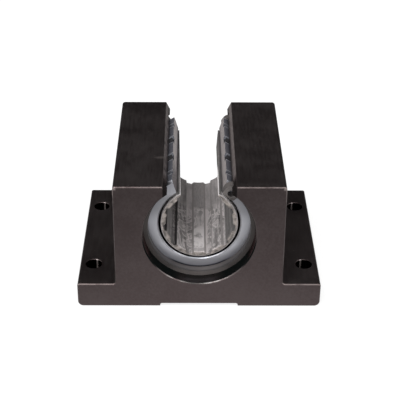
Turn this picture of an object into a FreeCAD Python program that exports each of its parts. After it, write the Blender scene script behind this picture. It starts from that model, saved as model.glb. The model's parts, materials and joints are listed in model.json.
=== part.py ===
"""Open linear bearing block: a flanged housing that carries a slotted plain bearing.

The bore runs along Y, the slot opens upwards and the block stands on Z = 0, with the
origin in the middle of its base. Every piece is drawn about the bore's own axis and
lifted to its height by its Placement.
"""
import FreeCAD, Part
import math
import os
import Sketcher

SIZES = {
    # Housing
    "base_width": 69.85,
    "block_length": 55.0,
    "flange_height": 7.6,
    "upright_width": 47.9,
    "axis_height": 23.8,
    "head_height": 15.6,
    "bore_diameter": 31.75,
    "bore_chamfer": 0.3,
    "slot_width": 18.0,
    "slot_chamfer_width": 1.2,
    "slot_chamfer_height": 2.4,
    "relief_width": 22.4,
    "relief_depth": 0.85,
    "relief_radius": 0.6,
    "base_corner_radius": 1.6,
    "flange_edge_radius": 0.65,
    "top_edge_radius": 0.9,
    "flange_root_radius": 0.8,
    "end_chamfer": 0.25,
    # Bolt holes in the flange
    "bolt_side_distance": 4.075,
    "bolt_end_distance": 10.7,
    "bolt_hole_diameter": 4.76,
    "bolt_hole_chamfer": 0.15,
    # Bearing sleeve
    "opening_angle": 58.0,
    "opening_face_tilt": 17.5,
    "sleeve_inset": 6.85,
    "sleeve_play": 0.1,
    "sleeve_chamfer": 0.6,
    "sleeve_bore_chamfer": 0.25,
    "snap_groove_inset": 4.7,
    "snap_groove_width": 1.8,
    "snap_groove_depth": 0.7,
    # Liner
    "shaft_diameter": 19.05,
    "shaft_play": 0.03,
    "liner_thickness": 1.495,
    "liner_play": 0.65,
    "liner_chamfer": 0.2,
    "liner_opening_angle": 60.0,
    "liner_gap_front": 10.5,
    "liner_gap_rear": 12.1,
    "liner_gap_knee": 9.0,
    "channel_count": 10,
    "channel_pitch": 32.6,
    "channel_depth": 0.8,
    "channel_floor_width": 1.6,
    "channel_flare": 0.4,
    "nub_share": 0.34,
    # Rubber rings in the sleeve's wide grooves
    "rubber_thickness": 0.96,
    "rubber_seat": 0.02,
    "rubber_groove_spacing": 11.0,
    "rubber_groove_width": 3.8,
    "rubber_side_play": 0.2,
    "rubber_end_angle": 1.5,
    # Retaining rings in the bore
    "ring_thickness": 2.6,
    "ring_play": 0.05,
    "ring_reach": 1.275,
    "ring_groove_depth": 0.9,
    "ring_short_end_angle": 140.0,
    "rear_ring_turn": 3.0,
    "eye_reach": 3.175,
    "eye_angle": 17.5,
    "eye_hole_diameter": 2.0,
    "eye_corner_radius": 0.8,
    "eye_tip_radius": 2.2,
    # Locating pin under the sleeve
    "pin_diameter": 3.0,
    "pin_share": 0.42,
    "pin_play": 0.05,
    "pin_floor_gap": 0.3,
    "pin_chamfer": 0.3,
}

NEAR = 1e-4  # two places closer than this are the same place
OVERCUT = 1.0  # how far a cut runs past the face that it breaks through
INSIDE = 0.25  # share of a bore's radius at which a place is well clear of its wall


class Size:
    """A number together with the formula, in the sheet's cells, that it follows."""

    def __init__(self, value, formula):
        self.value = value
        self.formula = formula

    @staticmethod
    def of(thing):
        return thing if isinstance(thing, Size) else Size(thing, str(thing))

    def __add__(self, other):
        other = Size.of(other)
        return Size(self.value + other.value, f"({self.formula} + {other.formula})")

    def __sub__(self, other):
        other = Size.of(other)
        return Size(self.value - other.value, f"({self.formula} - {other.formula})")

    def __rsub__(self, other):
        return Size.of(other) - self

    def __mul__(self, other):
        other = Size.of(other)
        return Size(self.value * other.value, f"({self.formula} * {other.formula})")

    def __truediv__(self, other):
        other = Size.of(other)
        return Size(self.value / other.value, f"({self.formula} / {other.formula})")

    def __radd__(self, other):
        return Size.of(other) + self

    def __rtruediv__(self, other):
        return Size.of(other) / self

    def __neg__(self):
        return Size(-self.value, f"(-1 * {self.formula})")


def sine(angle):
    return Size(math.sin(math.radians(angle.value)), f"sin({angle.formula} * 1 deg)")


def cosine(angle):
    return Size(math.cos(math.radians(angle.value)), f"cos({angle.formula} * 1 deg)")


def tangent(angle):
    return Size(math.tan(math.radians(angle.value)), f"tan({angle.formula} * 1 deg)")


doc = FreeCAD.newDocument("bearing_block")
sheet = doc.addObject("Spreadsheet::Sheet", "Sizes")
for row, (size_name, size_value) in enumerate(SIZES.items(), start=1):
    sheet.set(f"A{row}", size_name)
    sheet.set(f"B{row}", str(size_value))
    sheet.setAlias(f"B{row}", size_name)
doc.recompute()


def cell(name):
    return Size(SIZES[name], f"Sizes.{name}")


# Places that several pieces share
AXIS_HEIGHT = cell("axis_height")
HALF_LENGTH = cell("block_length") / 2
BORE_RADIUS = cell("bore_diameter") / 2
HALF_SLEEVE = HALF_LENGTH - cell("sleeve_inset")
SLEEVE_RADIUS = BORE_RADIUS - cell("sleeve_play")
LAND_RADIUS = cell("shaft_diameter") / 2 + cell("shaft_play")
LINER_RADIUS = LAND_RADIUS + cell("liner_thickness")
SLEEVE_BORE_RADIUS = LINER_RADIUS + cell("liner_play")
SLEEVE_WALL = SLEEVE_RADIUS - SLEEVE_BORE_RADIUS
OPENING_EDGE_ANGLE = 180 - cell("opening_angle") / 2  # from straight down to the slot's edge
RUBBER_FLOOR_RADIUS = BORE_RADIUS - cell("rubber_thickness") - cell("rubber_seat") * 2
RUBBER_MIDDLE = cell("rubber_groove_spacing") / 2
RUBBER_GROOVE_HALF = cell("rubber_groove_width") / 2
RING_BACK = HALF_SLEEVE + cell("ring_play")
RING_FRONT = RING_BACK + cell("ring_thickness")
RING_GROOVE_RADIUS = BORE_RADIUS + cell("ring_groove_depth")
PIN_HOLE_DIAMETER = cell("pin_diameter") + cell("pin_play") * 2


def bind(thing, path, size):
    thing.setExpression(path, size.formula)


def new_body(name):
    """Starts a piece whose own origin lies on the bore's axis."""
    body = doc.addObject("PartDesign::Body", name)
    body.Label = name
    bind(body, "Placement.Base.z", AXIS_HEIGHT)
    return body


def origin_part(body, role):
    return next(part for part in body.Origin.OriginFeatures if part.Role == role)


def new_sketch(body, name, plane):
    sketch = body.newObject("Sketcher::SketchObject", name)
    sketch.AttachmentSupport = [(origin_part(body, plane), "")]
    sketch.MapMode = "FlatFace"
    return sketch


def hold(sketch, edge, point, place):
    """Fixes one point of a sketch at its distances from the sketch's origin."""
    for kind, size in zip(("DistanceX", "DistanceY"), place):
        number = sketch.addConstraint(Sketcher.Constraint(kind, -1, 1, edge, point, size.value))
        bind(sketch, f"Constraints[{number}]", size)


def outline(body, name, plane, corners):
    """A closed outline of straight lines through the corners."""
    sketch = new_sketch(body, name, plane)
    points = [FreeCAD.Vector(u.value, v.value, 0) for u, v in corners]
    count = len(points)
    for i in range(count):
        sketch.addGeometry(Part.LineSegment(points[i], points[(i + 1) % count]), False)
    for i in range(count):
        sketch.addConstraint(Sketcher.Constraint("Coincident", i, 2, (i + 1) % count, 1))
    for i, corner in enumerate(corners):
        hold(sketch, i, 1, corner)
    return sketch


def disc(body, name, plane, diameter, place=None):
    """A circle, at the sketch's origin unless a place is given."""
    sketch = new_sketch(body, name, plane)
    centre = FreeCAD.Vector(place[0].value, place[1].value, 0) if place else FreeCAD.Vector()
    sketch.addGeometry(Part.Circle(centre, FreeCAD.Vector(0, 0, 1), diameter.value / 2), False)
    number = sketch.addConstraint(Sketcher.Constraint("Diameter", 0, diameter.value))
    bind(sketch, f"Constraints[{number}]", diameter)
    if place:
        hold(sketch, 0, 3, place)
    else:
        sketch.addConstraint(Sketcher.Constraint("Coincident", 0, 3, -1, 1))
    return sketch


def mirrored(half):
    """Completes an outline of (along, out) corners with its mirror image."""
    return half + [(-along, out) for along, out in reversed(half)]


def pad(body, name, sketch, length, middle=False):
    feature = body.newObject("PartDesign::Pad", name)
    feature.Profile = sketch
    feature.SideType = "Symmetric" if middle else "One side"
    bind(feature, "Length", length)
    return feature


def pocket(body, name, sketch, middle=False):
    """Cuts right through, to one side of the sketch or to both."""
    feature = body.newObject("PartDesign::Pocket", name)
    feature.Profile = sketch
    feature.Type = "ThroughAll"
    feature.SideType = "Symmetric" if middle else "One side"
    return feature


def revolve(body, name, sketch, left=None, right=None):
    """Turns a section about the bore's axis: right round, or by an angle to each side."""
    feature = body.newObject("PartDesign::Revolution", name)
    feature.Profile = sketch
    feature.ReferenceAxis = (sketch, ["H_Axis"])
    if left and right:
        feature.Type = "TwoAngles"
        bind(feature, "Angle", left)
        bind(feature, "Angle2", right)
    else:
        feature.Angle = 360
    return feature


def soften(body, kind, name, base, wanted, size):
    """Rounds or chamfers the edges of a feature that satisfy a test."""
    doc.recompute()
    feature = body.newObject(f"PartDesign::{kind}", name)
    edges = [f"Edge{i}" for i, edge in enumerate(base.Shape.Edges, start=1) if wanted(edge)]
    feature.Base = (base, edges)
    bind(feature, "Radius" if kind == "Fillet" else "Size", size)
    doc.recompute()
    return feature


def runs_along(edge):
    """Whether an edge is parallel to the bore."""
    first = edge.Vertexes[0].Point
    last = edge.Vertexes[-1].Point
    run = abs(last.y - first.y)
    return run > NEAR and first.distanceToPoint(last) - run < NEAR


def lines_at(across, up):
    """A test for the lengthwise edges at one distance across and one height."""
    def wanted(edge):
        point = edge.Vertexes[0].Point
        is_across = abs(abs(point.x) - across.value) < NEAR
        return runs_along(edge) and is_across and abs(point.z - up.value) < NEAR
    return wanted


def on_block_end(edge):
    """Whether an edge lies in the front or the rear face of the block."""
    on_end = [abs(abs(vertex.Point.y) - HALF_LENGTH.value) < NEAR for vertex in edge.Vertexes]
    return all(on_end) and not runs_along(edge)


def make_housing():
    body = new_body("housing")
    base = -AXIS_HEIGHT
    flange_top = cell("flange_height") - AXIS_HEIGHT
    top = cell("head_height")
    half_base = cell("base_width") / 2
    half_upright = cell("upright_width") / 2
    half_slot = cell("slot_width") / 2
    half_relief = cell("relief_width") / 2
    relief_top = cell("relief_depth") - AXIS_HEIGHT
    corners = mirrored([
        (half_relief, relief_top),
        (half_relief, base),
        (half_base, base),
        (half_base, flange_top),
        (half_upright, flange_top),
        (half_upright, top),
        (half_slot + cell("slot_chamfer_width"), top),
        (half_slot, top - cell("slot_chamfer_height")),
        (half_slot, -BORE_RADIUS * INSIDE),
    ])
    block = pad(body, "Block", outline(body, "BlockOutline", "XZ_Plane", corners),
                cell("block_length"), middle=True)
    block = soften(body, "Fillet", "BaseCorners", block, lines_at(half_base, base),
                   cell("base_corner_radius"))
    block = soften(body, "Fillet", "FlangeRoots", block, lines_at(half_upright, flange_top),
                   cell("flange_root_radius"))
    block = soften(body, "Fillet", "ReliefRoots", block, lines_at(half_relief, relief_top),
                   cell("relief_radius"))
    block = soften(body, "Fillet", "FlangeEdges", block, lines_at(half_base, flange_top),
                   cell("flange_edge_radius"))
    block = soften(body, "Fillet", "TopEdges", block, lines_at(half_upright, top),
                   cell("top_edge_radius"))
    block = soften(body, "Chamfer", "EndEdges", block, on_block_end, cell("end_chamfer"))

    bore_mouth = BORE_RADIUS + cell("bore_chamfer")
    groove_end = RING_FRONT + cell("ring_play")
    section = mirrored([
        (HALF_LENGTH + OVERCUT, -BORE_RADIUS * INSIDE),
        (HALF_LENGTH + OVERCUT, -bore_mouth - OVERCUT),
        (HALF_LENGTH - cell("bore_chamfer"), -BORE_RADIUS),
        (groove_end, -BORE_RADIUS),
        (groove_end, -RING_GROOVE_RADIUS),
        (HALF_SLEEVE, -RING_GROOVE_RADIUS),
        (HALF_SLEEVE, -BORE_RADIUS),
    ])
    bore = body.newObject("PartDesign::Groove", "Bore")
    bore.Profile = outline(body, "BoreSection", "YZ_Plane", section)
    bore.ReferenceAxis = (bore.Profile[0], ["H_Axis"])
    bore.Angle = 360

    pocket(body, "PinHole", disc(body, "PinHoleCircle", "XY_Plane", PIN_HOLE_DIAMETER))
    bolt_across = half_base - cell("bolt_side_distance")
    bolt_along = HALF_LENGTH - cell("bolt_end_distance")
    bolt_circle = disc(body, "BoltHoleCircle", "XY_Plane", cell("bolt_hole_diameter"),
                       (-bolt_across, -bolt_along))
    hole = pocket(body, "BoltHole", bolt_circle)
    doc.recompute()
    holes = body.newObject("PartDesign::LinearPattern", "BoltHoles")
    holes.Originals = [hole]
    holes.Direction = (origin_part(body, "X_Axis"), [""])
    holes.Direction2 = (origin_part(body, "Y_Axis"), [""])
    bind(holes, "Length", bolt_across * 2)
    bind(holes, "Length2", bolt_along * 2)
    holes.Occurrences = 2
    holes.Occurrences2 = 2
    body.Tip = holes

    def on_rim(edge):
        is_circle = isinstance(edge.Curve, Part.Circle)
        return is_circle and abs(edge.Curve.Radius - cell("bolt_hole_diameter").value / 2) < NEAR

    soften(body, "Chamfer", "BoltHoleRims", holes, on_rim, cell("bolt_hole_chamfer"))
    return body


def groove_corners(start, width, floor_radius):
    """The four corners of a groove round the sleeve, from its start towards the middle."""
    stop = start - width
    return [(start, -SLEEVE_RADIUS), (start, -floor_radius),
            (stop, -floor_radius), (stop, -SLEEVE_RADIUS)]


def make_sleeve():
    body = new_body("bearing_sleeve")
    outer = cell("sleeve_chamfer")
    inner = cell("sleeve_bore_chamfer")
    snap_start = HALF_SLEEVE - cell("snap_groove_inset")
    snap_floor = SLEEVE_RADIUS - cell("snap_groove_depth")
    rubber_start = RUBBER_MIDDLE + RUBBER_GROOVE_HALF
    section = mirrored([
        (HALF_SLEEVE - inner, -SLEEVE_BORE_RADIUS),
        (HALF_SLEEVE, -SLEEVE_BORE_RADIUS - inner),
        (HALF_SLEEVE, outer - SLEEVE_RADIUS),
        (HALF_SLEEVE - outer, -SLEEVE_RADIUS),
        *groove_corners(snap_start, cell("snap_groove_width"), snap_floor),
        *groove_corners(rubber_start, cell("rubber_groove_width"), RUBBER_FLOOR_RADIUS),
    ])
    revolve(body, "Sleeve", outline(body, "SleeveSection", "YZ_Plane", section))

    half_opening = cell("opening_angle") / 2
    edge_across = SLEEVE_RADIUS * sine(half_opening)
    edge_up = SLEEVE_RADIUS * cosine(half_opening)
    slope = tangent(cell("opening_face_tilt"))
    low = SLEEVE_BORE_RADIUS * INSIDE
    high = SLEEVE_RADIUS + OVERCUT
    opening = outline(body, "OpeningOutline", "XZ_Plane", mirrored([
        (edge_across - (edge_up - low) * slope, low),
        (edge_across + (high - edge_up) * slope, high)]))
    pocket(body, "Opening", opening, middle=True)
    pocket(body, "PinHole", disc(body, "PinHoleCircle", "XY_Plane", PIN_HOLE_DIAMETER))
    return body


def make_liner():
    body = new_body("bearing_liner")
    chamfer = cell("liner_chamfer")
    section = mirrored([
        (HALF_SLEEVE - chamfer, -LAND_RADIUS),
        (HALF_SLEEVE, -LAND_RADIUS - chamfer),
        (HALF_SLEEVE, chamfer - LINER_RADIUS),
        (HALF_SLEEVE - chamfer, -LINER_RADIUS),
    ])
    wrap = 180 - cell("liner_opening_angle") / 2
    revolve(body, "Liner", outline(body, "LinerSection", "YZ_Plane", section), wrap, wrap)

    half_front = cell("liner_gap_front") / 2
    half_rear = cell("liner_gap_rear") / 2
    past_end = HALF_SLEEVE + OVERCUT
    edges = outline(body, "SlotEdges", "XY_Plane", [
        (-half_front, -past_end), (half_front, -past_end), (half_front, cell("liner_gap_knee")),
        (half_rear, past_end), (-half_rear, past_end)])
    pocket(body, "EdgeTrim", edges).Reversed = True

    nub_tip = SLEEVE_BORE_RADIUS + SLEEVE_WALL * cell("nub_share")
    nub = disc(body, "NubCircle", "XY_Plane", cell("pin_diameter"))
    bind(nub, "AttachmentOffset.Base.z", -nub_tip)
    pad(body, "Nub", nub, nub_tip - LAND_RADIUS - cell("liner_thickness") / 2)

    floor = LAND_RADIUS + cell("channel_depth")
    half_floor = cell("channel_floor_width") / 2
    half_mouth = half_floor + cell("channel_flare") * (1 + OVERCUT / cell("channel_depth"))
    mouth = LAND_RADIUS - OVERCUT
    channel = outline(body, "ChannelOutline", "XZ_Plane", [
        (half_floor, -floor), (half_mouth, -mouth), (-half_mouth, -mouth), (-half_floor, -floor)])
    spread = cell("channel_pitch") * (cell("channel_count") - 1)
    channel.AttachmentOffset = FreeCAD.Placement(
        FreeCAD.Vector(), FreeCAD.Rotation(FreeCAD.Vector(0, 0, 1), spread.value / 2))
    bind(channel, "AttachmentOffset.Rotation.Angle", spread / 2)
    first = pocket(body, "Channel", channel, middle=True)
    doc.recompute()
    channels = body.newObject("PartDesign::PolarPattern", "Channels")
    channels.Originals = [first]
    channels.Axis = (origin_part(body, "Y_Axis"), [""])
    bind(channels, "Angle", spread)
    bind(channels, "Occurrences", cell("channel_count"))
    body.Tip = channels
    return body


def make_rubber_ring(name, side):
    """An open flat rubber ring in one of the sleeve's wide grooves."""
    body = new_body(name)
    outer = BORE_RADIUS - cell("rubber_seat")
    inner = outer - cell("rubber_thickness")
    half = RUBBER_GROOVE_HALF - cell("rubber_side_play")
    near = RUBBER_MIDDLE * side - half
    far = RUBBER_MIDDLE * side + half
    section = outline(body, "RubberSection", "YZ_Plane", [
        (near, -inner), (near, -outer), (far, -outer), (far, -inner)])
    reach = OPENING_EDGE_ANGLE - cell("rubber_end_angle")
    revolve(body, "Rubber", section, reach, reach)
    return body


def make_retaining_ring(name, side, turn):
    """An open ring turned a little in the bore's groove, with an eye for pliers at its right end."""
    body = new_body(name)
    inner = BORE_RADIUS - cell("ring_reach")
    outer = RING_GROOVE_RADIUS - cell("ring_play")
    eye_end = OPENING_EDGE_ANGLE - turn
    back = RING_BACK * side
    front = RING_FRONT * side
    section = outline(body, "RingSection", "YZ_Plane", [
        (back, -inner), (back, -outer), (front, -outer), (front, -inner)])
    revolve(body, "Ring", section, cell("ring_short_end_angle") + turn, eye_end)

    eye_inner = BORE_RADIUS - cell("eye_reach")
    eye_outer = (inner + outer) / 2
    eye_section = outline(body, "EyeSection", "YZ_Plane", [
        (back, -eye_inner), (back, -eye_outer), (front, -eye_outer), (front, -eye_inner)])
    eye_start = eye_end - cell("eye_angle")
    eye_section.AttachmentOffset = FreeCAD.Placement(
        FreeCAD.Vector(), FreeCAD.Rotation(FreeCAD.Vector(-1, 0, 0), eye_start.value))
    bind(eye_section, "AttachmentOffset.Rotation.Angle", eye_start)
    eye = body.newObject("PartDesign::Revolution", "Eye")
    eye.Profile = eye_section
    eye.ReferenceAxis = (eye_section, ["H_Axis"])
    eye.Reversed = True
    bind(eye, "Angle", cell("eye_angle"))

    def right_lines_at(radius):
        def wanted(edge):
            point = edge.Vertexes[0].Point
            reach = math.hypot(point.x, point.z)
            return runs_along(edge) and point.x > 0 and abs(reach - radius.value) < NEAR
        return wanted

    eye = soften(body, "Fillet", "EyeCorners", eye, right_lines_at(eye_inner),
                 cell("eye_corner_radius"))
    soften(body, "Fillet", "EyeTip", eye, right_lines_at(outer), cell("eye_tip_radius"))

    eye_middle = eye_end - cell("eye_angle") / 2
    hole_radius = (eye_inner + BORE_RADIUS) / 2
    hole = disc(body, "EyeHoleCircle", "XZ_Plane", cell("eye_hole_diameter"),
                (hole_radius * sine(eye_middle), -hole_radius * cosine(eye_middle)))
    pocket(body, "EyeHole", hole, middle=True)
    return body


def make_pin():
    body = new_body("locating_pin")
    foot = cell("relief_depth") + cell("pin_floor_gap") - AXIS_HEIGHT
    tip = SLEEVE_WALL * cell("pin_share") - SLEEVE_RADIUS
    circle = disc(body, "PinCircle", "XY_Plane", cell("pin_diameter"))
    bind(circle, "AttachmentOffset.Base.z", foot)
    pin = pad(body, "Pin", circle, tip - foot)

    def on_end(edge):
        return isinstance(edge.Curve, Part.Circle)

    soften(body, "Chamfer", "PinEnds", pin, on_end, cell("pin_chamfer"))
    return body


def write(bodies):
    """Stops if anything failed to build, then writes one file for each piece."""
    doc.recompute()
    for thing in doc.Objects:
        if "Invalid" in thing.State or "Error" in thing.State:
            raise RuntimeError(f"{thing.Name} failed: {thing.State}")
    for body in bodies:
        if body.Shape.isNull() or not body.Shape.isValid() or len(body.Shape.Solids) != 1:
            raise RuntimeError(f"{body.Label} is not one sound solid")
    os.makedirs("parts", exist_ok=True)
    for body in bodies:
        body.Shape.exportStep(f"parts/{body.Label}.step")


write([
    make_housing(),
    make_sleeve(),
    make_liner(),
    make_rubber_ring("rubber_ring_front", -1),
    make_rubber_ring("rubber_ring_rear", 1),
    make_retaining_ring("retaining_ring_front", -1, Size.of(0)),
    make_retaining_ring("retaining_ring_rear", 1, cell("rear_ring_turn")),
    make_pin(),
])
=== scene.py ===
import json
import math
from functools import reduce

import bpy
from bpy.props import FloatProperty, FloatVectorProperty, PointerProperty
from mathutils import Matrix, Vector

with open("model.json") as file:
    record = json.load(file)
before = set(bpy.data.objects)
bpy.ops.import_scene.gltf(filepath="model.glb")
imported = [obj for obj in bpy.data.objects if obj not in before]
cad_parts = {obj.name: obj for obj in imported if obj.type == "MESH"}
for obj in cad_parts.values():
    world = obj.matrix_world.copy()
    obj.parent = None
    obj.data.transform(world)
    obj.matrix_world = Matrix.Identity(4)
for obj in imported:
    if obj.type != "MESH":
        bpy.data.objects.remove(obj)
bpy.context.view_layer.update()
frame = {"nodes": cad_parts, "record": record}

bl_info = {
    "name": "Open Linear Bearing Block",
    "version": (1, 0, 0),
    "blender": (4, 5, 0),
    "location": "3D View > Sidebar > Bearing Block",
    "description": "Finishes an open linear bearing block and sets the stage that it stands on",
    "category": "Add Mesh",
}

MM = 0.001
BUMP_HEIGHT = 0.00002

# Sizes of the solids that the finishes follow: the axis in metres, the rest in millimetres.
MOUNTS = {mount["name"]: mount for mount in frame["record"]["mounts"]}
BOLTS = MOUNTS["bolts"]["dims"]
BOLT_RADIUS = BOLTS["hole_r_mm"]
BOLT_ACROSS = BOLTS["spacing_x_mm"] / 2
BOLT_ALONG = BOLTS["spacing_y_mm"] / 2
AXIS_HEIGHT = MOUNTS["shaft_bore"]["pos_m"][2]
LAND_RADIUS = MOUNTS["shaft_bore"]["dims"]["r_mm"]
LINER_RADIUS = 11.05
SLEEVE_BORE = 11.7
RING_BORE = 14.6
HOUSING_BORE = 15.875
GROOVE_RIMS = (3.6, 7.4, 14.15, 15.95, 20.05)


def colour(name, description, default):
    """A colour that the user may change."""
    return FloatVectorProperty(name=name, description=description, default=default,
                               subtype="COLOR", size=3, min=0.0, max=1.0)


def share(name, description, default):
    """A share between 0 and 1 that the user may change."""
    return FloatProperty(name=name, description=description, default=default,
                         subtype="FACTOR", min=0.0, max=1.0)


def power(name, description, default):
    """A lamp's power that the user may change."""
    return FloatProperty(name=name, description=description, default=default,
                         unit="POWER", min=0.0)


def angle(name, description, degrees):
    """An angle that the user may change."""
    return FloatProperty(name=name, description=description, default=math.radians(degrees),
                         subtype="ANGLE")


class BlockFinishes(bpy.types.PropertyGroup):
    """Colours and gloss of the block's pieces."""
    housing_colour: colour("Housing", "Dark anodised metal", (0.0095, 0.0088, 0.0086))
    housing_tint: colour("Housing sheen", "Tint of the housing's reflections", (1.0, 0.75, 0.75))
    # Real edge wear, also used for painted highlights: on the edges, on the right of the slot and
    # down the bolt holes
    housing_wear_and_highlight: colour("Worn edge", "Thin anodising on the edges", (0.16, 0.138, 0.132))
    housing_bare: colour("Bare edge", "Bare metal on the bore's lower edge", (0.095, 0.088, 0.086))
    # Painted shade on the bore's wall and on the sides of its front chamfer
    housing_bore_shade: colour("Housing bore", "Shaded wall of the housing's bore",
                         (0.0035, 0.0066, 0.0064))
    # Painted highlight: a bright glint on the rim of each bolt hole
    painted_hole_glint: colour("Hole rims", "Bare spot on the rim of each bolt hole", (0.45, 0.42, 0.41))
    housing_roughness: share("Housing roughness", "Roughness of the anodised faces", 0.4)
    sleeve_inner: colour("Sleeve end, inside", "Turned end beside the bore", (0.45, 0.45, 0.48))
    sleeve_outer: colour("Sleeve end, outside", "Turned end beside the housing",
                         (0.335, 0.34, 0.378))
    # Painted highlight along the lower rim of the sleeve's bore
    sleeve_lip_highlight: colour("Sleeve lip", "Rubbed lower rim of the sleeve's bore", (0.34, 0.35, 0.38))
    # Painted shade where the sleeve meets its ring
    sleeve_seam_shade: colour("Sleeve seam", "Grime where the sleeve meets its ring",
                        (0.03, 0.033, 0.046))
    sleeve_wall: colour("Sleeve wall", "Round outside of the sleeve", (0.265, 0.275, 0.32))
    # Painted highlight on the rims of the sleeve's grooves
    sleeve_rim_highlight: colour("Groove rims", "Bright rims of the sleeve's grooves", (0.75, 0.77, 0.83))
    sleeve_cut: colour("Sleeve slot", "Milled faces of the sleeve's slot", (0.62, 0.57, 0.56))
    # Darker parts of the milled faces: on the left towards the front, and along the foot
    sleeve_cut_dark: colour("Slot stain", "Stained part of the milled faces", (0.16, 0.145, 0.155))
    sleeve_roughness: share("Sleeve roughness", "Roughness of the turned metal", 0.33)
    # Polished runs of the liner; also the painted highlight on the ends' outer rim
    liner_polish_and_highlight: colour("Liner light", "Polished runs of the liner", (0.83, 0.775, 0.77))
    # Polished run of the middle land, brightened as a painted highlight; also the painted light in
    # the liner's gap
    liner_run_and_highlight: colour("Liner run", "Brightest run, on the middle land", (1.0, 0.945, 0.94))
    liner_dark: colour("Liner dark", "Stained runs of the liner", (0.166, 0.153, 0.151))
    liner_far: colour("Liner sides", "Clean sides of the liner, which the shaft spares",
                      (0.178, 0.171, 0.169))
    liner_end: colour("Liner ends", "Cut ends of the liner", (0.3, 0.265, 0.245))
    # Painted highlight along the liner's cut edges, darker over the rear half
    liner_edge_highlight: colour("Liner edges", "Cut edges of the liner along the slot", (1.0, 0.96, 0.95))
    liner_edge_rear_dark: colour("Edge stain", "Stained rear half of the cut edges", (0.1, 0.095, 0.09))
    liner_roughness: share("Liner roughness", "Roughness where the liner isn't polished", 0.5)
    ring_colour: colour("Retaining rings", "Phosphated spring steel", (0.056, 0.049, 0.047))
    # Rubbed eye of the rings, and painted light on their lower part
    ring_rubbed_and_lit: colour("Rubbed ring", "Rubbed lower part of the rings", (0.15, 0.135, 0.13))
    ring_roughness: share("Ring roughness", "Roughness of the phosphated steel", 0.4)
    rubber_colour: colour("Rubber rings", "Black rubber", (0.012, 0.012, 0.014))
    # Painted highlight on the rear edge of each rubber ring
    rubber_edge_highlight: colour("Rubber edge", "Bloom on the rear edge of each rubber ring",
                        (0.2, 0.21, 0.24))
    rubber_roughness: share("Rubber roughness", "Roughness of the rubber", 0.6)
    pin_colour: colour("Pin", "Ground steel", (0.4, 0.4, 0.41))
    pin_roughness: share("Pin roughness", "Roughness of the ground steel", 0.25)


class BlockStage(bpy.types.PropertyGroup):
    """Camera, floor and light."""
    camera_place: FloatVectorProperty(name="Camera", description="Where the camera stands",
                                      default=(-0.0024928, -0.29496, 0.18965),
                                      subtype="TRANSLATION", unit="LENGTH", size=3)
    camera_lens: FloatProperty(name="Lens", description="Focal length on a 36 mm wide sensor",
                               default=101.436, unit="CAMERA", min=1.0)
    camera_drop: angle("Looking down", "Angle of the camera below the horizon", 29.964)
    camera_heading: angle("Heading", "Turn of the camera to the left", -0.553)
    camera_roll: angle("Roll", "Turn of the camera about its line of sight", 0.403)
    sky_light: FloatProperty(name="Sky light", description="Soft light from all round",
                             default=0.36, min=0.0)
    key_power: power("Key light", "Power of the large lamp at the upper left", 6.0)
    side_power: power("Side light", "Power of the lamp at the upper right", 2.5)
    fill_power: power("Fill light", "Power of the lamp in front", 1.5)
    floor_size: FloatProperty(name="Floor", description="Width of the floor",
                              default=8.0, unit="LENGTH", min=0.0)


class Flow:
    """A socket of a node tree that takes part in sums."""

    def __init__(self, shading, socket):
        self.shading = shading
        self.socket = socket

    def math(self, operation, first, second=0.0):
        return self.shading.node("ShaderNodeMath", {"operation": operation}, {0: first, 1: second})

    def __add__(self, other):
        return self.math("ADD", self, other)

    def __radd__(self, other):
        return self.math("ADD", other, self)

    def __sub__(self, other):
        return self.math("SUBTRACT", self, other)

    def __rsub__(self, other):
        return self.math("SUBTRACT", other, self)

    def __mul__(self, other):
        return self.math("MULTIPLY", self, other)

    def __rmul__(self, other):
        return self.math("MULTIPLY", other, self)

    def __abs__(self):
        return self.math("ABSOLUTE", self)

    def root(self):
        return self.math("SQRT", self)

    def sine(self):
        return self.math("SINE", self)

    def larger(self, other):
        return self.math("MAXIMUM", self, other)

    def smaller(self, other):
        return self.math("MINIMUM", self, other)

    def rise(self, zone):
        """0 below the zone's start and 1 above its stop, with a soft step between them."""
        start, stop = zone
        return self.shading.node("ShaderNodeMapRange", {"interpolation_type": "SMOOTHSTEP"},
                                 {"Value": self, "From Min": start, "From Max": stop})

    def fall(self, zone):
        """1 below the zone's start and 0 above its stop."""
        return 1.0 - self.rise(zone)

    def between(self, first, last):
        """1 from the end of the first zone to the start of the last one."""
        return self.rise(first) * self.fall(last)


def span(across, along):
    """The length of a line, from its two parts."""
    return (across * across + along * along).root()


def strongest(*layers):
    """The largest of several masks, each given with its amount."""
    return reduce(Flow.larger, (amount * mask for amount, mask in layers))


def tinted(shade, factor):
    """A plain colour made darker or lighter."""
    return tuple(factor * part for part in shade)


class Shading:
    """The node tree of a material or of the sky, emptied and ready to be filled."""

    def __init__(self, owner):
        owner.use_nodes = True
        self.owner = owner
        self.tree = owner.node_tree
        self.tree.nodes.clear()

    def node(self, kind, settings=None, inputs=None, output=0):
        """Adds a node: its settings first, then the values or links of its sockets."""
        made = self.tree.nodes.new(kind)
        for name, value in (settings or {}).items():
            setattr(made, name, value)
        for name, value in (inputs or {}).items():
            if isinstance(value, Flow):
                self.tree.links.new(value.socket, made.inputs[name])
            else:
                made.inputs[name].default_value = value
        return Flow(self, made.outputs[output]) if made.outputs else None

    def outputs(self, kind, names, inputs=None):
        """Several outputs of one new node."""
        made = self.node(kind, inputs=inputs).socket.node
        return [Flow(self, made.outputs[name]) for name in names]

    def ray_kinds(self):
        """1 for the camera's own rays, and 1 for what a mirroring or clear piece sees."""
        camera, glossy, through = self.outputs(
            "ShaderNodeLightPath", ("Is Camera Ray", "Is Glossy Ray", "Is Transmission Ray"))
        return camera, glossy.larger(through)

    def end_in(self, shader):
        """Ends a material's tree in a shader."""
        self.node("ShaderNodeOutputMaterial", None, {"Surface": shader})
        return self.owner


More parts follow.
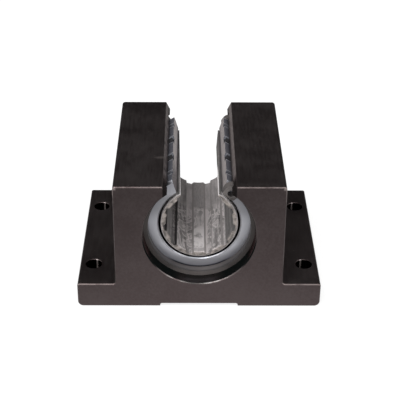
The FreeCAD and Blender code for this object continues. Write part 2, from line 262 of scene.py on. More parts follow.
class Finish(Shading):
    """A procedural material with places in millimetres. Each kind has a NAME of its own."""

    # Sockets of a Mix node that mixes colours
    MIX_FACTOR = 0
    MIX_COLOURS = (6, 7)
    MIX_RESULT = 2

    def __init__(self, look):
        super().__init__(bpy.data.materials.new(self.NAME))
        self.look = look
        place_in_metres = self.node("ShaderNodeTexCoord", output="Object")
        self.point = self.scaled(place_in_metres, (1.0 / MM, 1.0 / MM, 1.0 / MM))
        self.x, self.y, self.z = self.outputs("ShaderNodeSeparateXYZ", "XYZ", {0: self.point})
        facing = self.node("ShaderNodeNewGeometry", output="Normal")
        self.across, self.along, self.up = self.outputs("ShaderNodeSeparateXYZ", "XYZ", {0: facing})
        self.lift = self.z - AXIS_HEIGHT / MM
        self.radius = span(self.x, self.lift)

    def scaled(self, vector, scale):
        """A vector scaled by a different amount each way."""
        return self.node("ShaderNodeVectorMath", {"operation": "MULTIPLY"}, {0: vector, 1: scale})

    def noise(self, scale, detail=4.0, vector=None, distortion=0.0):
        """Clouds about one over scale millimetres wide."""
        return self.node("ShaderNodeTexNoise", None,
                         {"Vector": vector or self.point, "Scale": scale, "Detail": detail,
                          "Distortion": distortion})

    def stretched_noise(self, stretch, detail, vector=None, distortion=0.0):
        """Clouds with a scale of their own each way."""
        return self.noise(1.0, detail, self.scaled(vector or self.point, stretch), distortion)

    def mix(self, factor, first, second):
        """A colour between two colours."""
        inputs = {self.MIX_FACTOR: factor}
        for socket, shade in zip(self.MIX_COLOURS, (first, second)):
            inputs[socket] = shade if isinstance(shade, Flow) else (*shade, 1.0)
        return self.node("ShaderNodeMix", {"data_type": "RGBA"}, inputs, self.MIX_RESULT)

    def dim(self, shade, factor):
        """A colour made darker, or lighter, by a factor."""
        return self.node("ShaderNodeVectorMath", {"operation": "SCALE"},
                         {0: shade, "Scale": factor})

    def bump(self, height, strength):
        """Small unevenness of the surface."""
        return self.node("ShaderNodeBump", None,
                         {"Height": height, "Distance": BUMP_HEIGHT, "Strength": strength})

    def shade(self, **sockets):
        """Ends the tree in a principled shader."""
        inputs = {}
        for name, value in sockets.items():
            inputs[name.replace("_", " ").title().replace("Ior", "IOR")] = value
        return self.end_in(self.node("ShaderNodeBsdfPrincipled", None, inputs))


class HousingFinish(Finish):
    """Dark anodised metal with thin bright edges, partly painted highlights, and painted shade in
    its bore, holes and slot front.
    """

    NAME = "dark_anodised_metal"

    # How a face points: up, to the front, level, or tilted along or across the block
    FACES_UP = (0.9, 0.95)
    FACES_FRONT = (-0.8, -0.5)
    LEVEL = (0.2, 0.4)
    TILTED_ALONG = (0.1, 0.19)
    TILTED_ACROSS = (0.25, 0.45)
    TILTED_UP = ((0.4, 0.6), (0.8, 0.9))

    # The slot: its sides, its foot, its worn top edge and its front, darkened with painted shade
    SLOT_SIDES = (10.0, 10.4)
    SLOT_FOOT = (35.5, 36.5)
    SLOT_TOP = (37.2, 38.4)
    SLOT_FRONT = (-24.0, -18.0)
    RIGHT_SIDE = (-1.0, 1.0)

    # The bore: its wall, its chamfer, and what is bare, shaded or dull round it
    BORE_WALL = (HOUSING_BORE + 0.025, HOUSING_BORE + 0.075)
    BORE_CHAMFER = (16.3, 16.6)
    BARE_LIFT = (-14.8, -9.0)
    SHADED_LIFT = ((-12.5, -8.5), (-3.0, 1.0))
    DULL_SIDES = (4.0, 8.0)
    DULL_LIFT = (-10.0, -5.0)
    DEEP_SIDES = (2.0, 8.0)

    # The bolt holes: wall, rim, and a painted highlight streak down the front of the wall
    HOLE_WALL = (BOLT_RADIUS + 0.02, BOLT_RADIUS + 0.07)
    HOLE_RIM = (BOLT_RADIUS + 0.22, BOLT_RADIUS + 0.32)
    HIGHLIGHT_OFFSET = 0.76
    HIGHLIGHT_WIDTH = (0.1, 0.4)

    # The uprights: below their top edges, their worn corners, and a scrape on the left one
    BELOW_TOP = (33.0, 37.0)
    CORNER_ACROSS = (22.8, 23.3)
    CORNER_ALONG = (27.0, 27.3)
    CORNER_HEIGHT = (38.2, 38.7)
    SCRAPE_PLACE = (-11.2, -10.1)
    SCRAPE_SIZE = (0.2, 1.0)
    SCRAPE_SQUASH = 0.4

    # Clouds: their size, and where they turn from dark to light
    CLOUD_SCALE = 0.09
    CLOUD_TURN = (0.35, 0.65)
    SCUFF_STRETCH = (1.6, 0.16, 1.6)
    PATCH_SCALE = 0.42
    PATCH_TURN = (0.25, 0.6)
    SPECK_SCALE = 1.5
    SPECK_TURN = (0.74, 0.78)
    GRAIN_SCALE = 2.6

    def __init__(self, look):
        super().__init__(look)
        self.cloud = self.noise(self.CLOUD_SCALE, detail=5.0)
        self.scuffs = self.stretched_noise(self.SCUFF_STRETCH, detail=3.0)
        self.patchy = self.noise(self.PATCH_SCALE).rise(self.PATCH_TURN)
        self.in_slot = abs(self.x).fall(self.SLOT_SIDES) * self.z.rise(self.SLOT_FOOT)
        self.slot_mouth = self.in_slot * self.y.fall(self.SLOT_FRONT)
        self.chamfers = (abs(self.along) * (1.0 - abs(self.along))).rise(self.TILTED_ALONG)
        self.bore_edge = self.chamfers * self.radius.fall(self.BORE_CHAMFER)
        self.bare = self.bore_edge * self.lift.fall(self.BARE_LIFT) * self.patchy
        shaded_edge = self.bore_edge * self.lift.between(*self.SHADED_LIFT)
        self.in_bore = self.radius.fall(self.BORE_WALL).larger(shaded_edge)
        hole_x = abs(self.x) - BOLT_ACROSS
        hole_radius = span(hole_x, abs(self.y) - BOLT_ALONG)
        self.in_hole = hole_radius.fall(self.HOLE_WALL)
        self.at_hole = hole_radius.fall(self.HOLE_RIM)
        # Painted highlight: a streak down the front of each hole's wall
        self.painted_hole_streak = (self.at_hole * abs(hole_x + self.HIGHLIGHT_OFFSET).fall(self.HIGHLIGHT_WIDTH)
                       * self.along.fall(self.FACES_FRONT))

    def edge_wear_and_highlight(self):
        """Thin anodising on the edges, which also stands in for their highlights, with painted
        light on the right side of the slot.
        """
        # Painted light: the right side of the slot gets more of the bright edge colour
        right = self.in_slot * self.x.rise(self.RIGHT_SIDE)
        upright = abs(self.up).fall(self.LEVEL) * self.z.fall(self.BELOW_TOP)
        outer_edge = (self.chamfers * self.radius.rise(self.BORE_CHAMFER)
                      * (1.0 - self.in_slot) * (1.0 - 0.8 * upright))
        slot_edge = (abs(self.across * self.up).rise(self.TILTED_ACROSS) * self.in_slot
                     * self.z.rise(self.SLOT_TOP) * (1.0 - self.slot_mouth))
        edges = strongest((0.8, outer_edge), (0.2, self.bore_edge), (0.8 + 0.6 * right, slot_edge))
        return edges * self.patchy.larger(0.75 * right) * (1.0 - 0.8 * self.at_hole)

    def worn_spots(self):
        """Specks and a scrape on the level faces, and the worn corners of the uprights."""
        level = self.up.rise(self.FACES_UP)
        specks = self.noise(self.SPECK_SCALE, detail=1.0).rise(self.SPECK_TURN) * level
        scrape_x, scrape_y = self.SCRAPE_PLACE
        off_scrape = span(self.SCRAPE_SQUASH * (self.x - scrape_x), self.y - scrape_y)
        scrape = off_scrape.fall(self.SCRAPE_SIZE) * level
        corners = (abs(self.x).rise(self.CORNER_ACROSS) * self.z.rise(self.CORNER_HEIGHT)
                   * abs(self.y).rise(self.CORNER_ALONG))
        return strongest((0.3, specks), (0.4 * self.scuffs, scrape), (1.0, corners))

    def base_color(self):
        look = self.look
        shown = self.mix((0.5 * self.cloud + 0.5 * self.scuffs).rise(self.CLOUD_TURN),
                         tinted(look.housing_colour, 0.4), tinted(look.housing_colour, 1.6))
        worn = self.edge_wear_and_highlight().larger(self.worn_spots())
        shown = self.mix(worn, shown, look.housing_wear_and_highlight)
        shown = self.mix(self.bare, shown, look.housing_bare)
        # Painted shade: the walls of the bolt holes are darkened
        shown = self.dim(shown, 1.0 - 0.6 * self.in_hole)
        # Painted shade: the bore's wall and the shaded sides of its chamfer are darkened
        shown = self.mix(self.in_bore, shown, look.housing_bore_shade)
        # Painted shade: the front of the slot keeps the plain dark colour, without its worn edges
        shown = self.mix(self.slot_mouth, shown, tinted(look.housing_colour, 1.5))
        # Painted highlight streak in each bolt hole, and a painted glint on its rim
        shown = self.mix(0.9 * self.painted_hole_streak, shown, look.housing_wear_and_highlight)
        painted_glint = self.painted_hole_streak * self.up.between(*self.TILTED_UP)
        return self.mix(painted_glint, shown, look.painted_hole_glint)

    def roughness(self):
        dull_bore = (self.in_bore * abs(self.x).rise(self.DULL_SIDES)
                     * self.lift.fall(self.DULL_LIFT))
        return (self.look.housing_roughness + 0.12 * (self.cloud - 0.5)
                - 0.15 * self.in_bore.larger(self.in_hole) - 0.22 * self.bare
                + 0.7 * dull_bore.larger(self.slot_mouth))

    def metallic(self):
        deep = 0.5 + 0.45 * abs(self.x).rise(self.DEEP_SIDES)
        return strongest((deep, self.in_bore), (1.0 - self.painted_hole_streak, self.in_hole),
                         (1.0, self.bare), (0.9, self.slot_mouth))

    def material(self):
        return self.shade(
            base_color=self.base_color(),
            metallic=self.metallic(),
            roughness=self.roughness(),
            specular_ior_level=0.75,
            specular_tint=(*self.look.housing_tint, 1.0),
            normal=self.bump(self.noise(self.GRAIN_SCALE, detail=2.0), strength=0.4))


class SleeveFinish(Finish):
    """Clear anodised metal with turning marks, painted highlights on the rims of its grooves and
    painted shade in them.
    """

    NAME = "clear_anodised_metal"

    # How a face points: along the bore, on a bevel, or across the slot
    WALL_FACING = (0.3, 0.8)
    BEVEL_FACING = ((0.4, 0.6), (0.8, 0.9))
    SLOT_FACING = (0.8, 0.9)

    # The end: rings round the axis from the bore outwards
    END_FACE = (SLEEVE_BORE, 15.0)
    BORE_RIM = (SLEEVE_BORE + 0.27, SLEEVE_BORE + 0.3)
    SHINY_RING = (12.2, 14.2)
    SEAM_RING = (13.9, 14.5)
    OUTER_BEVEL = (15.0, 15.1)

    # The end: heights from the axis
    LOW_PART = (-11.0, -7.0)
    LIP_HIGHLIGHT_LIFT = (-11.75, -11.1)
    SEAM_LIFT = (-13.0, -10.5)
    LIT_RIM = (-9.0, -5.0)
    SHINY_LIFT = ((-12.2, -10.2), (-7.5, -5.0))
    SHADED_LIFT = ((0.0, 5.0), (8.0, 10.0))

    # The outside, its grooves and its slot
    OUTSIDE = (14.6, 14.8)
    ABOVE_GROOVES = (15.5, 15.7)
    GROOVE_TOP = (15.6, 15.7)
    RIM_WIDTH = (0.2, 0.45)
    SLOT_LIFT = (8.5, 9.0)
    DARK_FRONT = (-16.0, -2.0)
    LEFT_SIDE = (-1.0, 1.0)
    DARK_FOOT = (11.9, 13.1)

    MARK_SCALE = 6.0
    CLOUD_SCALE = 0.14
    STREAK_STRETCH = (1.2, 0.12, 1.2)

    def __init__(self, look):
        super().__init__(look)
        self.marks = self.node("ShaderNodeTexNoise", {"noise_dimensions": "1D"},
                               {"W": self.radius, "Scale": self.MARK_SCALE, "Detail": 2.0})
        self.slot = abs(self.across).rise(self.SLOT_FACING) * self.lift.rise(self.SLOT_LIFT)

    def end(self):
        """The turned end, with painted highlights on its lower lip and lower inner part, and
        painted shade at its ring, on its bore rim and towards the outside.
        """
        look = self.look
        # Painted shade: the end darkens towards the outside, most of all low down
        outwards = self.radius.rise(self.END_FACE) * (0.7 + 0.6 * self.lift.fall(self.LOW_PART))
        cloud = self.noise(self.CLOUD_SCALE)
        end = self.mix(0.25 * (cloud - 0.5) + outwards, look.sleeve_inner, look.sleeve_outer)
        bore_rim = self.radius.fall(self.BORE_RIM)
        # Painted highlight along the lower rim of the bore
        lip = self.lift.fall(self.LIP_HIGHLIGHT_LIFT)
        end = self.mix(lip * bore_rim, end, look.sleeve_lip_highlight)
        # Painted shade where the sleeve's end meets its ring
        seam = self.lift.fall(self.SEAM_LIFT) * self.radius.rise(self.SEAM_RING)
        end = self.mix(seam, end, look.sleeve_seam_shade)
        # Painted shade on the bore's rim, lighter on its bevel and higher up
        bevel = abs(self.along).between(*self.BEVEL_FACING)
        lit = (bevel * (0.4 + 0.6 * self.lift.rise(self.LIT_RIM))).larger(lip)
        end = self.dim(end, 1.0 - bore_rim * (1.0 - lit))
        end = self.dim(end, 1.0 - 0.35 * self.lift.between(*self.SHADED_LIFT))
        # Painted shade on the outer bevel
        end = self.dim(end, 1.0 - 0.65 * bevel * self.radius.rise(self.OUTER_BEVEL))
        # Painted highlight on the lower inner part of the end
        painted_shine = self.lift.between(*self.SHINY_LIFT) * self.radius.fall(self.SHINY_RING)
        return self.dim(end, 1.0 + 0.3 * painted_shine)

    def outside(self):
        """The round outside, with painted shade in the grooves and painted highlights on their
        rims.
        """
        off_rims = reduce(Flow.smaller, (abs(abs(self.y) - rim) for rim in GROOVE_RIMS))
        # Painted highlights on the groove rims
        rims = self.radius.rise(self.GROOVE_TOP) * off_rims.fall(self.RIM_WIDTH)
        # Painted shade in the grooves
        wall = self.dim(self.look.sleeve_wall, 0.4 + 0.6 * self.radius.rise(self.ABOVE_GROOVES))
        return self.mix(rims, wall, self.look.sleeve_rim_highlight)

    def slot_faces(self):
        """The milled faces of the slot, darker on the left towards the front and along their foot,
        with streaks.
        """
        streaks = self.stretched_noise(self.STREAK_STRETCH, detail=4.0)
        left = 0.8 * self.y.fall(self.DARK_FRONT) * self.x.fall(self.LEFT_SIDE)
        stain = left.larger(self.radius.fall(self.DARK_FOOT)) + 0.7 * (streaks - 0.5)
        return self.mix(stain, self.look.sleeve_cut, self.look.sleeve_cut_dark)

    def material(self):
        wall = abs(self.along).fall(self.WALL_FACING) * self.radius.rise(self.OUTSIDE)
        turned = self.mix(wall, self.end(), self.outside())
        return self.shade(
            base_color=self.mix(self.slot, turned, self.slot_faces()),
            metallic=0.75,
            roughness=self.look.sleeve_roughness + 0.1 * (self.marks - 0.5) + 0.15 * self.slot,
            normal=self.bump(self.marks, strength=0.25))


class LinerFinish(Finish):
    """Grey plastic with run marks and smears, laid out on the unrolled liner."""

    NAME = "run_in_liner"

    # Lands and channels, in degrees from the lowest line, positive to the right
    MIDDLE_LAND = (8.6, 9.4)
    MIDDLE_RUN = (11.0, 17.0)
    NEXT_LANDS = (22.0, 24.0)
    LEFT_LAND = ((-45.0, -42.0), (-24.0, -21.0))
    LEFT_FLANK = (-40.0, -36.0)
    LEFT_CHANNEL = ((-53.0, -48.0), (-43.0, -41.5))
    RIGHT_CHANNEL = ((48.0, 52.0), (57.0, 61.0))
    SIDES = (46.0, 50.0)

    # Depth behind the lands at which the flanks of the channels lie
    FLANK_DEPTH = ((0.04, 0.12), (0.62, 0.7))

    # Places along the bore, from front to rear
    FRONT_EDGE = (-19.2, -17.4)
    FRONT_SHADE = (-16.5, -12.0)
    BRIGHT_RUN = ((-19.0, -16.6), (-9.6, -5.6))
    LIGHT_LANDS = (-8.0, 4.0)
    CLEAN_REAR = (1.0, 6.0)
    RUN_END = (3.0, 5.0)
    UNWORN_REAR = (4.6, 5.2)
    EDGE_DARK_REAR = (-7.0, -2.0)
    GAP_FRONT = (-19.0, -18.0)

    # A dark smudge on the middle land
    SMUDGE_PLACE = (-0.2, -10.8)
    SMUDGE_SQUASH = (0.7, 0.5)
    SMUDGE_SIZE = (0.2, 1.2)

    # The outside, the ends and the cut edges along the slot
    OUTSIDE = (LINER_RADIUS - 0.04, LINER_RADIUS - 0.01)
    END_RIM = (LINER_RADIUS - 0.3, LINER_RADIUS - 0.15)
    END_LIFT = (-9.0, 1.0)
    GAP_LIFT = (0.0, 5.0)
    SLOT_LIFT = (8.9, 9.3)
    RIGHT_SIDE = (-2.0, 2.0)
    EDGE_LIFT = (7.0, 7.3)
    END_FACING = (0.6, 0.8)
    EDGE_FACING = (0.75, 0.85)

    # Marks: their scale across and along the unrolled liner, and where they turn light
    STREAK_STRETCH = (0.7, 0.05, 0.0)
    SWIRL_STRETCH = (0.2, 0.11, 0.0)
    FLECK_STRETCH = (1.6, 0.5, 0.0)
    GRAIN_STRETCH = (2.6, 0.5, 0.0)
    SMEAR_WAVES = (36.0, 5.0)
    SMEAR_TURN = (0.0, 1.0)
    RUBBED_TURN = (0.32, 0.63)
    CLEAN_TURN = (0.2, 0.8)
    END_SCALE = 0.9
    END_TURN = (0.3, 0.7)

    def __init__(self, look):
        super().__init__(look)
        turn = self.node("ShaderNodeMath", {"operation": "ARCTAN2"},
                         {0: self.x, 1: -1.0 * self.lift})
        self.degrees = math.degrees(1.0) * turn
        self.unrolled = self.node("ShaderNodeCombineXYZ", None, {0: LAND_RADIUS * turn, 1: self.y})
        self.streaks = self.marks(self.STREAK_STRETCH, detail=5.0)
        self.swirls = self.marks(self.SWIRL_STRETCH, detail=3.0, distortion=1.8)
        self.polish = self.polish_marks()
        self.middle = abs(self.degrees).fall(self.MIDDLE_LAND)
        self.flanks = (self.radius - LAND_RADIUS).between(*self.FLANK_DEPTH)
        self.smudge = self.smudge_mark()

    def marks(self, stretch, detail, distortion=0.0):
        """Clouds on the unrolled liner."""
        return self.stretched_noise(stretch, detail, self.unrolled, distortion)

    def polish_marks(self):
        """Strokes that the shaft has left, calmer in the clean rear."""
        streaks, swirls = self.streaks, self.swirls
        swirl_waves, streak_waves = self.SMEAR_WAVES
        smears = (swirl_waves * swirls + streak_waves * streaks).sine().rise(self.SMEAR_TURN)
        flecks = self.marks(self.FLECK_STRETCH, detail=3.0, distortion=0.8)
        rubbed = 0.44 * streaks + 0.3 * swirls + 0.15 * smears + 0.2 * flecks
        clean = 0.5 * streaks + 0.35 * swirls + 0.15 * flecks
        rear = self.y.rise(self.CLEAN_REAR)
        return rubbed.rise(self.RUBBED_TURN) * (1.0 - rear) + clean.rise(self.CLEAN_TURN) * rear

    def smudge_mark(self):
        """A soft uneven smudge."""
        place_x, place_y = self.SMUDGE_PLACE
        squash_x, squash_y = self.SMUDGE_SQUASH
        away = span(squash_x * (self.x - place_x), squash_y * (self.y - place_y))
        return (away + 4.0 * (self.swirls - 0.5)).fall(self.SMUDGE_SIZE)

    def lightness(self):
        """How light the inside is, from stained to polished."""
        off_middle = abs(self.degrees)
        beside = (off_middle.between(self.MIDDLE_LAND, self.NEXT_LANDS)
                  * self.y.rise(self.LIGHT_LANDS))
        centre = off_middle.fall(self.MIDDLE_RUN) * self.y.fall(self.RUN_END)
        # Painted shade: the left land is a little darker
        left_land = self.degrees.between(*self.LEFT_LAND)
        worn = (self.polish + 0.2 * beside + 0.3 * centre
                - 0.15 * left_land - 0.45 * self.middle * self.smudge)
        unworn = self.middle * self.y.rise(self.UNWORN_REAR).larger(
            0.7 * self.y.fall(self.FRONT_EDGE))
        grain = self.marks(self.GRAIN_STRETCH, detail=4.0)
        return (worn * (1.0 - unworn.larger(self.flanks))
                + (0.15 + 0.64 * grain) * unworn + 0.55 * self.flanks)

    def inside(self):
        """The lands and channels, with a painted highlight on the run of the middle land and
        painted shade in the channels and flanks, most on the left.
        """
        look = self.look
        body = self.mix(self.lightness(), look.liner_dark, look.liner_polish_and_highlight)
        # Painted highlight on the middle land's run, over real polish
        run = self.middle * self.y.between(*self.BRIGHT_RUN) * (1.0 - 0.8 * self.smudge)
        body = self.mix(run * (0.45 + self.polish), body, look.liner_run_and_highlight)
        sides = abs(self.degrees).rise(self.SIDES)
        body = self.mix(sides * (1.35 - 0.9 * self.streaks), body, look.liner_far)
        # Painted shade on the channels' flanks, most of all on the left
        left_flank = self.degrees.fall(self.LEFT_FLANK)
        body = self.dim(body, 1.0 - self.flanks * (0.15 + 0.7 * left_flank))
        # Painted shade in the left and right channels
        left_channel = self.degrees.between(*self.LEFT_CHANNEL)
        right_channel = self.degrees.between(*self.RIGHT_CHANNEL)
        front = (1.0 - 0.7 * self.middle) * self.y.fall(self.FRONT_SHADE)
        return self.dim(body, 1.0 - 0.4 * left_channel - 0.3 * right_channel - 0.18 * front)

    def with_outside(self, body):
        """Adds the outside: painted light in the gap in front, and painted light on the slot's
        right side.
        """
        outside = self.radius.rise(self.OUTSIDE)
        # Painted light in the gap in front, and on the slot's right side
        in_gap = (outside * self.lift.between(self.GAP_LIFT, self.SLOT_LIFT)
                  * self.y.fall(self.GAP_FRONT))
        body = self.mix(in_gap, body, self.look.liner_run_and_highlight)
        in_slot = outside * self.lift.rise(self.SLOT_LIFT) * self.x.rise(self.RIGHT_SIDE)
        return self.dim(body, 1.0 + 0.35 * in_slot)

    def ends(self):
        """The mottled cut ends, with painted light higher up and a painted highlight along their
        outer rim.
        """
        look = self.look
        cut = self.mix(self.noise(self.END_SCALE).rise(self.END_TURN),
                       tinted(look.liner_end, 0.4), tinted(look.liner_end, 1.3))
        # Painted light: the ends are a little lighter higher up
        cut = self.dim(cut, 1.0 + 0.1 * self.lift.rise(self.END_LIFT))
        # Painted highlight along the ends' outer rim
        return self.mix(self.radius.rise(self.END_RIM), cut, look.liner_polish_and_highlight)

    def material(self):
        look = self.look
        at_end = abs(self.along).rise(self.END_FACING)
        at_edge = abs(self.across).rise(self.EDGE_FACING) * self.lift.rise(self.EDGE_LIFT)
        # Painted highlight along the cut edges, darker towards the rear
        edge = self.mix(self.y.rise(self.EDGE_DARK_REAR), look.liner_edge_highlight, look.liner_edge_rear_dark)
        shown = self.mix(at_end, self.with_outside(self.inside()), self.ends())
        return self.shade(
            base_color=self.mix(at_edge, shown, edge),
            metallic=0.15,
            roughness=look.liner_roughness - 0.15 * self.polish,
            normal=self.bump(self.streaks, strength=0.4))


class RingFinish(Finish):
    """Phosphated steel, rubbed at the eye, lighter along the bottom with painted light, and with
    painted shade inside.
    """

    NAME = "phosphated_steel"

    EYE_LIFT = (9.4, 11.4)
    BOTTOM_LIFT = (-15.0, -12.2)
    LOWER_LIFT = (-13.0, -4.0)
    RIGHT_SIDE = (-6.0, 6.0)
    INSIDE = (RING_BORE + 0.02, RING_BORE + 0.05)
    INSIDE_FACING = (0.3, 0.6)
    OUTER_HALF = (21.9, 23.2)
    CLOUD_SCALE = 0.26
    GRAIN_SCALE = 3.0

    def material(self):
        look = self.look
        cloud = self.noise(self.CLOUD_SCALE)
        # Painted light: lighter along the bottom, more on the right
        lower = (0.1 + 0.15 * self.x.rise(self.RIGHT_SIDE)) * self.lift.fall(self.LOWER_LIFT)
        rubbed = 0.75 * self.lift.fall(self.BOTTOM_LIFT) + lower
        eye = self.lift.rise(self.EYE_LIFT)
        body = self.mix(rubbed.larger(eye), look.ring_colour, look.ring_rubbed_and_lit)
        # Painted shade on the outer half of the ring's inside
        inside = self.radius.fall(self.INSIDE) * abs(self.along).fall(self.INSIDE_FACING)
        body = self.dim(body, 1.0 - 0.6 * inside * abs(self.y).rise(self.OUTER_HALF))
        return self.shade(
            base_color=self.dim(body, 0.7 + 0.6 * cloud),
            metallic=0.3,
            roughness=look.ring_roughness + 0.1 * cloud,
            normal=self.bump(self.noise(self.GRAIN_SCALE, detail=2.0), strength=0.4))


class RubberFinish(Finish):
    """Black rubber with a painted highlight on its rear edge."""

    NAME = "black_rubber"

    FRONT_RING_EDGE = ((-4.7, -4.2), (0.0, 1.0))
    REAR_RING_EDGE = (6.3, 6.8)
    CLOUD_SCALE = 0.5
    GRAIN_SCALE = 4.0

    def material(self):
        look = self.look
        cloud = self.noise(self.CLOUD_SCALE)
        body = self.mix(cloud, look.rubber_colour, tinted(look.rubber_colour, 1.6))
        # Painted highlight on the rear edge of each ring
        highlit_edges = self.y.rise(self.REAR_RING_EDGE).larger(self.y.between(*self.FRONT_RING_EDGE))
        return self.shade(
            base_color=self.mix(highlit_edges, body, look.rubber_edge_highlight),
            roughness=look.rubber_roughness + 0.15 * cloud,
            normal=self.bump(self.noise(self.GRAIN_SCALE, detail=2.0), strength=0.3))


class PinFinish(Finish):
    """Ground steel with marks round it."""

    NAME = "ground_steel"

    MARK_STRETCH = (0.4, 0.4, 9.0)

    def material(self):
        look = self.look
        marks = self.stretched_noise(self.MARK_STRETCH, detail=3.0)
        return self.shade(
            base_color=self.mix(marks, tinted(look.pin_colour, 0.85), look.pin_colour),
            metallic=1.0,
            roughness=look.pin_roughness + 0.15 * marks,
            normal=self.bump(marks, strength=0.2))


def dress(node, material):
    """Gives a solid its finish."""
    piece = frame["nodes"][node]
    if not piece.material_slots:
        raise RuntimeError(f"{node} has no material slot to fill")
    for part in piece.material_slots:
        part.material = material


class BEARING_OT_housing(bpy.types.Operator):
    """Finishes the housing in dark anodised metal with thin bright edges"""
    bl_idname = "bearing.housing"
    bl_label = "Housing"

    def execute(self, context):
        material = HousingFinish(context.scene.block_finishes).material()
        dress("housing", material)
        return {"FINISHED"}


class BEARING_OT_sleeve(bpy.types.Operator):
    """Finishes the sleeve in clear anodised metal with turning marks"""
    bl_idname = "bearing.sleeve"
    bl_label = "Sleeve"

    def execute(self, context):
        material = SleeveFinish(context.scene.block_finishes).material()
        dress("bearing_sleeve", material)
        return {"FINISHED"}


class BEARING_OT_liner(bpy.types.Operator):
    """Finishes the liner in grey plastic with run marks and smears"""
    bl_idname = "bearing.liner"
    bl_label = "Liner"

    def execute(self, context):
        material = LinerFinish(context.scene.block_finishes).material()
        dress("bearing_liner", material)
        return {"FINISHED"}


class BEARING_OT_retaining_rings(bpy.types.Operator):
    """Finishes both retaining rings in phosphated steel"""
    bl_idname = "bearing.retaining_rings"
    bl_label = "Retaining rings"

    def execute(self, context):
        material = RingFinish(context.scene.block_finishes).material()
        for node in ("retaining_ring_front", "retaining_ring_rear"):
            dress(node, material)
        return {"FINISHED"}


class BEARING_OT_rubber_rings(bpy.types.Operator):
    """Finishes both rubber rings"""
    bl_idname = "bearing.rubber_rings"
    bl_label = "Rubber rings"

    def execute(self, context):
        material = RubberFinish(context.scene.block_finishes).material()
        for node in ("rubber_ring_front", "rubber_ring_rear"):
            dress(node, material)
        return {"FINISHED"}


class BEARING_OT_pin(bpy.types.Operator):
    """Finishes the locating pin in ground steel"""
    bl_idname = "bearing.pin"
    bl_label = "Locating pin"

    def execute(self, context):
        material = PinFinish(context.scene.block_finishes).material()
        dress("locating_pin", material)
        return {"FINISHED"}


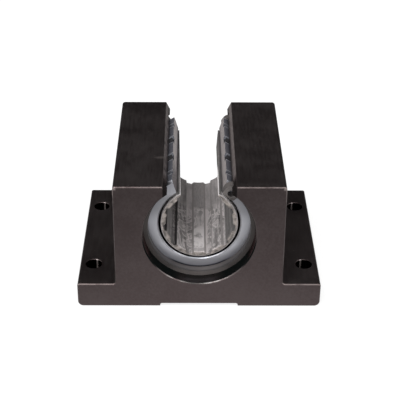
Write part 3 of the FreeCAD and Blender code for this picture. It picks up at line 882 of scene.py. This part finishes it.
class BEARING_OT_stage(bpy.types.Operator):
    """Sets the floor, the light and the camera"""
    bl_idname = "bearing.stage"
    bl_label = "Stage"

    WHITE = (1.0, 1.0, 1.0, 1.0)
    FLOOR_DROP = 0.00002
    FLOOR_COLOUR = (0.85, 0.85, 0.85, 1.0)
    FLOOR_SHADOW = (0.3, 0.3, 0.3, 1.0)
    FLOOR_GLOW = 0.82
    GLOW_REACH = (0.025, 0.115)
    CARD_PLACE = (0.0, 0.6, 0.5)
    CARD_SIZE = (4.0, 1.0, 1.0)
    CARD_COLOUR = (0.02, 0.02, 0.02, 1.0)
    KEY_PLACE, KEY_SIZE = (-0.4, -0.42, 0.75), 0.6
    SIDE_PLACE, SIDE_SIZE = (0.55, -0.4, 0.6), 0.5
    FILL_PLACE, FILL_SIZE = (0.25, -0.9, 0.12), 0.5
    NEAREST_VIEW = 0.01

    def execute(self, context):
        scene = context.scene
        stage = scene.block_stage
        scene.view_settings.view_transform = "Standard"
        self.set_sky(scene, stage)
        self.lay_floor(context, stage)
        self.hang_card(context)
        self.hang_lamp(scene, "key_lamp", stage.key_power, self.KEY_PLACE, self.KEY_SIZE)
        self.hang_lamp(scene, "side_lamp", stage.side_power, self.SIDE_PLACE, self.SIDE_SIZE)
        self.hang_lamp(scene, "fill_lamp", stage.fill_power, self.FILL_PLACE, self.FILL_SIZE)
        self.aim_camera(scene, stage)
        return {"FINISHED"}

    def set_sky(self, scene, stage):
        """A soft sky that the camera and the block's gloss see as white."""
        sky = Shading(bpy.data.worlds.new("studio_sky"))
        camera, mirrored = sky.ray_kinds()
        strength = stage.sky_light + (1.0 - stage.sky_light) * camera.larger(mirrored)
        light = sky.node("ShaderNodeBackground", None, {"Color": self.WHITE, "Strength": strength})
        sky.node("ShaderNodeOutputWorld", None, {"Surface": light})
        scene.world = sky.owner

    def lay_floor(self, context, stage):
        """A pale floor that the camera sees as white, with the block's shadow on it."""
        bpy.ops.mesh.primitive_plane_add(size=stage.floor_size,
                                         location=(0.0, 0.0, -self.FLOOR_DROP))
        floor = context.object
        floor.name = "floor"
        paint = Shading(bpy.data.materials.new("pale_floor"))
        plain = paint.node("ShaderNodeBsdfDiffuse", None, {"Color": self.FLOOR_COLOUR})
        shadowed = paint.node("ShaderNodeBsdfDiffuse", None, {"Color": self.FLOOR_SHADOW})
        camera, mirrored = paint.ray_kinds()
        place_on_floor = paint.node("ShaderNodeTexCoord", output="Object")
        distance = paint.node("ShaderNodeVectorMath", {"operation": "LENGTH"},
                              {0: place_on_floor}, "Value")
        strength = self.FLOOR_GLOW * camera.larger(distance.fall(self.GLOW_REACH))
        glow = paint.node("ShaderNodeEmission", None, {"Strength": strength})
        bright = paint.node("ShaderNodeAddShader", None, {0: shadowed, 1: glow})
        mixed = paint.node("ShaderNodeMixShader", None,
                           {0: camera.larger(mirrored), 1: plain, 2: bright})
        floor.data.materials.append(paint.end_in(mixed))

    def hang_card(self, context):
        """A dark card behind the block, which only the block's gloss sees."""
        bpy.ops.mesh.primitive_plane_add(size=1.0, location=self.CARD_PLACE,
                                         rotation=(math.pi / 2, 0.0, 0.0))
        card = context.object
        card.name = "dark_card"
        card.scale = self.CARD_SIZE
        card.visible_camera = False
        card.visible_diffuse = False
        card.visible_shadow = False
        paint = Shading(bpy.data.materials.new("dark_card"))
        dark = paint.node("ShaderNodeBsdfPrincipled", None,
                          {"Base Color": self.CARD_COLOUR, "Specular IOR Level": 0.0})
        card.data.materials.append(paint.end_in(dark))

    def hang_lamp(self, scene, name, energy, location, size):
        """A square lamp that shines on the bore's axis."""
        lamp = bpy.data.lights.new(name, "AREA")
        lamp.energy = energy
        lamp.size = size
        hung = bpy.data.objects.new(name, lamp)
        hung.location = location
        aim = Vector((0.0, 0.0, AXIS_HEIGHT)) - Vector(location)
        hung.rotation_euler = aim.to_track_quat("-Z", "Y").to_euler()
        scene.collection.objects.link(hung)

    def aim_camera(self, scene, stage):
        """The camera, a little above the block's front."""
        lens = bpy.data.cameras.new("camera")
        lens.lens = stage.camera_lens
        lens.clip_start = self.NEAREST_VIEW
        camera = bpy.data.objects.new("camera", lens)
        turn = (Matrix.Rotation(stage.camera_heading, 3, "Z")
                @ Matrix.Rotation(math.pi / 2 - stage.camera_drop, 3, "X")
                @ Matrix.Rotation(stage.camera_roll, 3, "Z"))
        camera.location = stage.camera_place
        camera.rotation_euler = turn.to_euler()
        scene.collection.objects.link(camera)
        scene.camera = camera


OPERATORS = (
    BEARING_OT_housing,
    BEARING_OT_sleeve,
    BEARING_OT_liner,
    BEARING_OT_retaining_rings,
    BEARING_OT_rubber_rings,
    BEARING_OT_pin,
    BEARING_OT_stage,
)


class BEARING_PT_panel(bpy.types.Panel):
    """Lists the block's finishes and the steps that build it"""
    bl_label = "Bearing Block"
    bl_idname = "BEARING_PT_panel"
    bl_space_type = "VIEW_3D"
    bl_region_type = "UI"
    bl_category = "Bearing Block"

    def draw(self, context):
        for group in (context.scene.block_finishes, context.scene.block_stage):
            box = self.layout.box()
            for name in group.bl_rna.properties.keys():
                if name not in ("rna_type", "name"):
                    box.prop(group, name)
        for operator in OPERATORS:
            self.layout.operator(operator.bl_idname)


CLASSES = (BlockFinishes, BlockStage, *OPERATORS, BEARING_PT_panel)


def register():
    for part in CLASSES:
        bpy.utils.register_class(part)
    bpy.types.Scene.block_finishes = PointerProperty(type=BlockFinishes)
    bpy.types.Scene.block_stage = PointerProperty(type=BlockStage)


def unregister():
    del bpy.types.Scene.block_stage
    del bpy.types.Scene.block_finishes
    for part in reversed(CLASSES):
        bpy.utils.unregister_class(part)


def main():
    register()
    for operator in OPERATORS:
        group, name = operator.bl_idname.split(".")
        getattr(getattr(bpy.ops, group), name)()


if __name__ == "__main__":
    main()
